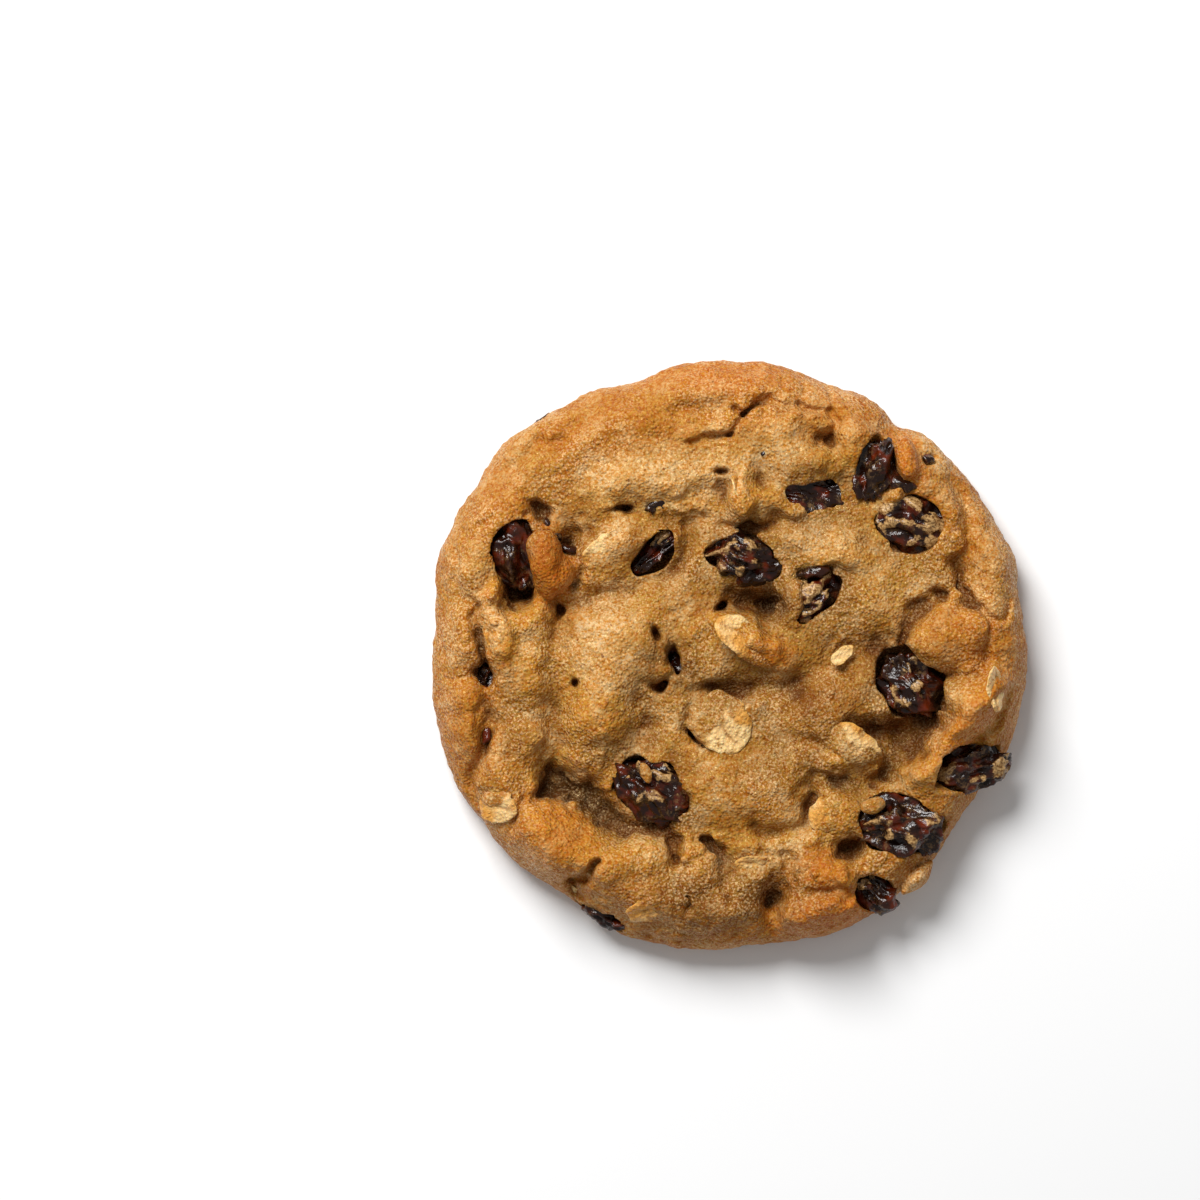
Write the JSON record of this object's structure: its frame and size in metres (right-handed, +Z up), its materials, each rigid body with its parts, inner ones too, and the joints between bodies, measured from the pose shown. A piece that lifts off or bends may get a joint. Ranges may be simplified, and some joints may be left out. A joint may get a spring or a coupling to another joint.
{
  "type": "oatmeal raisin cookie",
  "caption": "Round drop cookie with a browned rim, a lumpy cracked top, a flat base, and raisins and rolled oats set in the dough.",
  "frame": {"origin": "middle of the bounding box's underside, on the surface that the cookie lies on", "axes": "+Z up through the thickness, +Y towards the side with the long crack under the rim, +X towards the side with the folded flap"},
  "size_m": [0.0848, 0.0842, 0.0165],
  "materials": {
    "baked_dough": "baked crumb, matt with small moist glints, browner on the rim",
    "raisin_skin": "dark wrinkled skin, satin to glossy",
    "rolled_oat": "pale, slightly translucent, satin"
  },
  "bodies": {
    "root": {"dough": "baked_dough", "raisin_west": "raisin_skin", "raisin_sliver": "raisin_skin", "raisin_middle": "raisin_skin", "raisin_east_of_middle": "raisin_skin", "raisin_under_mound": "raisin_skin", "raisin_oval": "raisin_skin", "raisin_north_east": "raisin_skin", "raisin_east": "raisin_skin", "raisin_south_east": "raisin_skin", "raisin_south_west": "raisin_skin", "raisin_in_seam": "raisin_skin", "raisin_in_hole": "raisin_skin", "raisin_edge_east": "raisin_skin", "raisin_edge_south": "raisin_skin", "raisin_edge_south_west": "raisin_skin", "raisin_edge_north_west": "raisin_skin", "oat_middle": "rolled_oat", "oat_south": "rolled_oat", "oat_by_pit": "rolled_oat", "oat_north_west": "rolled_oat", "oat_west_rim": "rolled_oat", "oat_south_rim": "rolled_oat", "oat_on_flap": "rolled_oat"}
  },
  "joints": []
}
